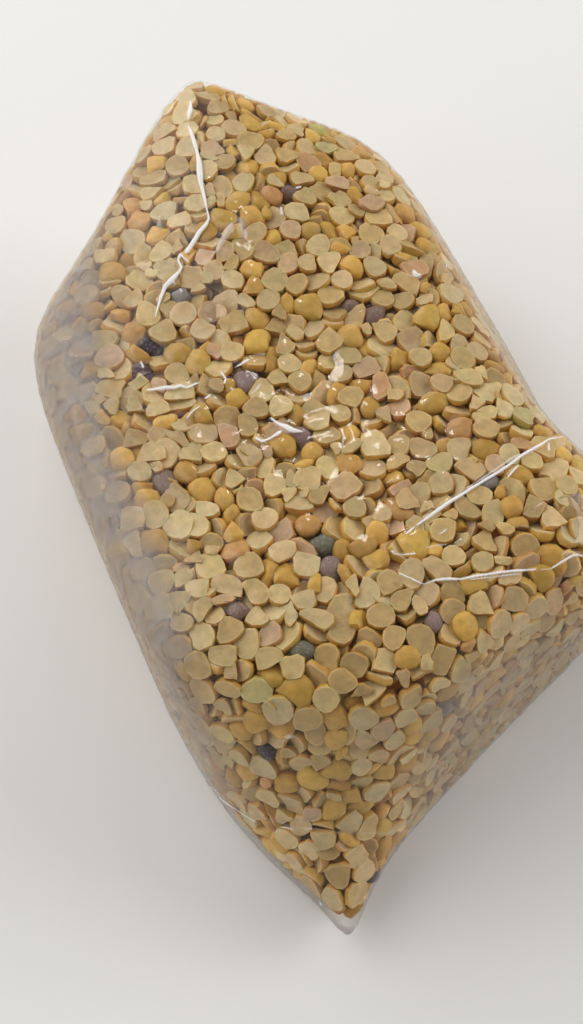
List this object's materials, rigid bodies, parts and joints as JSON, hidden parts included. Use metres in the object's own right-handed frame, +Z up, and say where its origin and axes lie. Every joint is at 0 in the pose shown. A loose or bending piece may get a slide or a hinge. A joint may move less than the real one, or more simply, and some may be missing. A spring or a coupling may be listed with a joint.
{
  "type": "sealed clear bag of split grass peas",
  "caption": "Clear plastic food bag packed tight with split yellow grass peas, lying down, with flat faces, soft ridges and pinched welded corners.",
  "frame": {"origin": "on the table, under the middle of the bag's bounding box", "axes": "+Z up from the table, +Y along the bag's long sides and away from the end with the two pinched ears, +X to the side of the right ear"},
  "size_m": [0.1038, 0.1634, 0.058],
  "materials": {
    "filled_bag": "glossy clear film over pale golden split peas"
  },
  "bodies": {
    "root": {"filled_bag": "filled_bag"}
  },
  "joints": []
}
